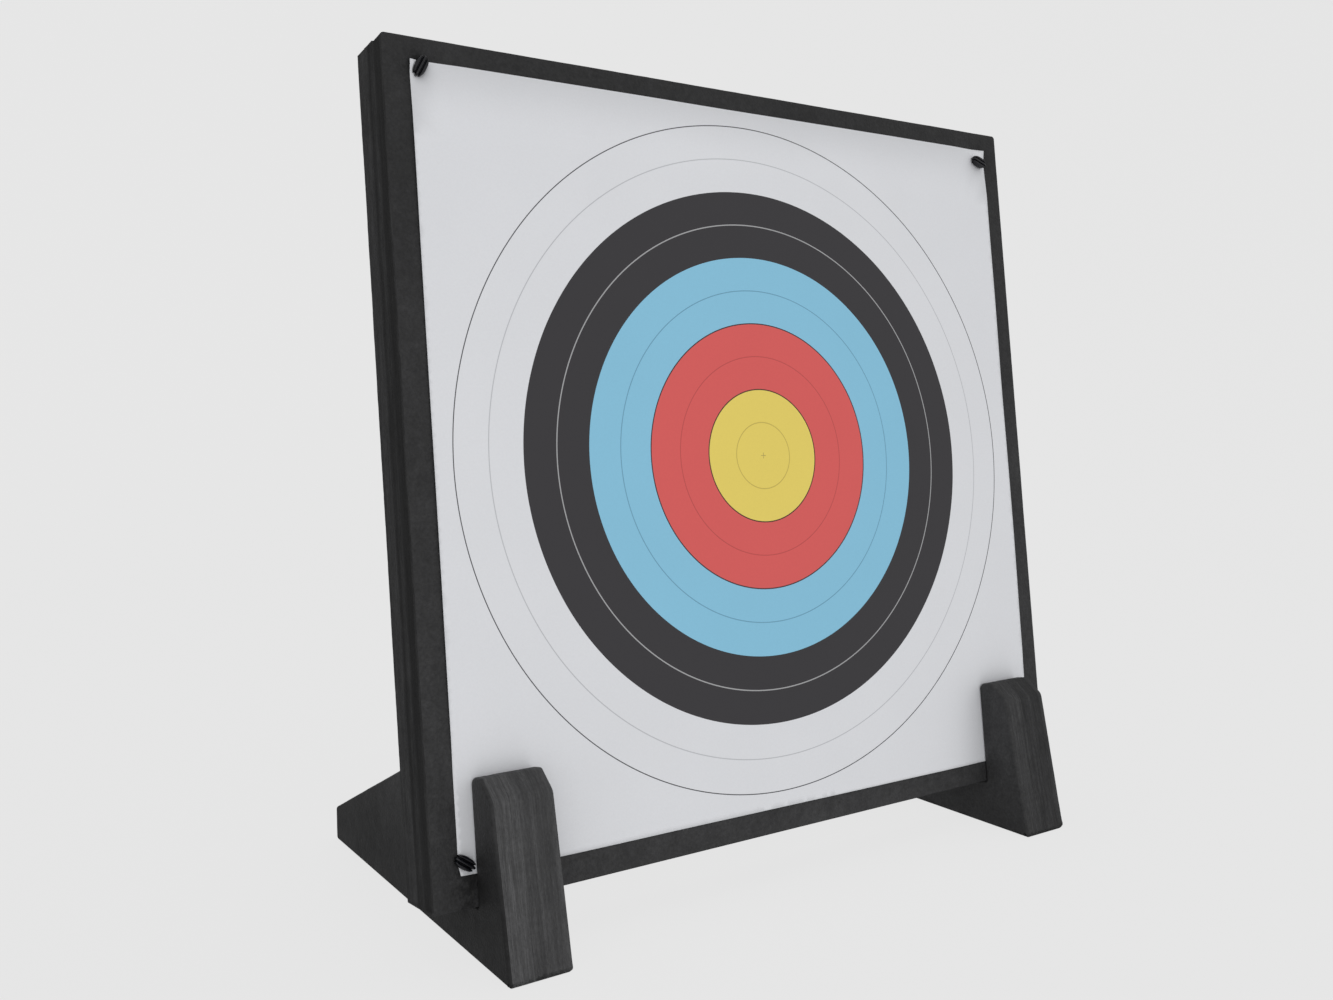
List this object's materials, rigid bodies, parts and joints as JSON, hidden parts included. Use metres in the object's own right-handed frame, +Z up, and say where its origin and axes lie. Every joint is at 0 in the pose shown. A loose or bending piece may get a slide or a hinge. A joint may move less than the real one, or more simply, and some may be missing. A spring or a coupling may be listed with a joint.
{
  "type": "archery target stand",
  "caption": "Square laminated foam archery target with a ten-ring paper face pinned on, leaning back in the slots of two foam feet.",
  "frame": {"origin": "on the floor, midway between the two feet in X and midway along their length in Y", "axes": "+Z up, +X to the right seen from the front, +Y to the back; the board's face looks towards -Y and leans back 6 degrees"},
  "size_m": [0.9054, 0.521, 0.9458],
  "materials": {
    "foam_thin": "matt closed-cell foam, sawn edge",
    "foam_core": "matt closed-cell foam, sawn edge",
    "foam_thick": "matt closed-cell foam with a smooth skin",
    "target_paper": "matt printed paper",
    "pin_plastic": "glossy moulded plastic"
  },
  "bodies": {
    "target_board": {"board_thin_sheet_1": "foam_thin", "board_thin_sheet_2": "foam_thin", "board_thin_sheet_3": "foam_thin", "board_thin_sheet_4": "foam_thin", "board_core_sheet": "foam_core", "board_thick_sheet": "foam_thick", "paper_target_face": "target_paper"},
    "foot_left": {"foot_left_thin_sheet_1": "foam_thin", "foot_left_thin_sheet_2": "foam_thin", "foot_left_thin_sheet_3": "foam_thin", "foot_left_thin_sheet_4": "foam_thin", "foot_left_core_sheet": "foam_core", "foot_left_thick_sheet": "foam_thick"},
    "foot_right": {"foot_right_thin_sheet_1": "foam_thin", "foot_right_thin_sheet_2": "foam_thin", "foot_right_thin_sheet_3": "foam_thin", "foot_right_thin_sheet_4": "foam_thin", "foot_right_core_sheet": "foam_core", "foot_right_thick_sheet": "foam_thick"},
    "pin_top_left": {"pin_top_left": "pin_plastic"},
    "pin_top_right": {"pin_top_right": "pin_plastic"},
    "pin_bottom_left": {"pin_bottom_left": "pin_plastic"},
    "pin_bottom_right": {"pin_bottom_right": "pin_plastic"}
  },
  "joints": [
    {"name": "foot_left_pull_off", "type": "slide", "parent": "target_board", "child": "foot_left", "axis": [0, -0.1045, -0.9945], "range_m": [0, 0.16]},
    {"name": "foot_right_pull_off", "type": "slide", "parent": "target_board", "child": "foot_right", "axis": [0, -0.1045, -0.9945], "range_m": [0, 0.16]},
    {"name": "pin_top_left_pull_out", "type": "slide", "parent": "target_board", "child": "pin_top_left", "axis": [0, -0.9945, 0.1045], "range_m": [0, 0.06]},
    {"name": "pin_top_right_pull_out", "type": "slide", "parent": "target_board", "child": "pin_top_right", "axis": [0, -0.9945, 0.1045], "range_m": [0, 0.06]},
    {"name": "pin_bottom_left_pull_out", "type": "slide", "parent": "target_board", "child": "pin_bottom_left", "axis": [0, -0.9945, 0.1045], "range_m": [0, 0.06]},
    {"name": "pin_bottom_right_pull_out", "type": "slide", "parent": "target_board", "child": "pin_bottom_right", "axis": [0, -0.9945, 0.1045], "range_m": [0, 0.06]}
  ]
}
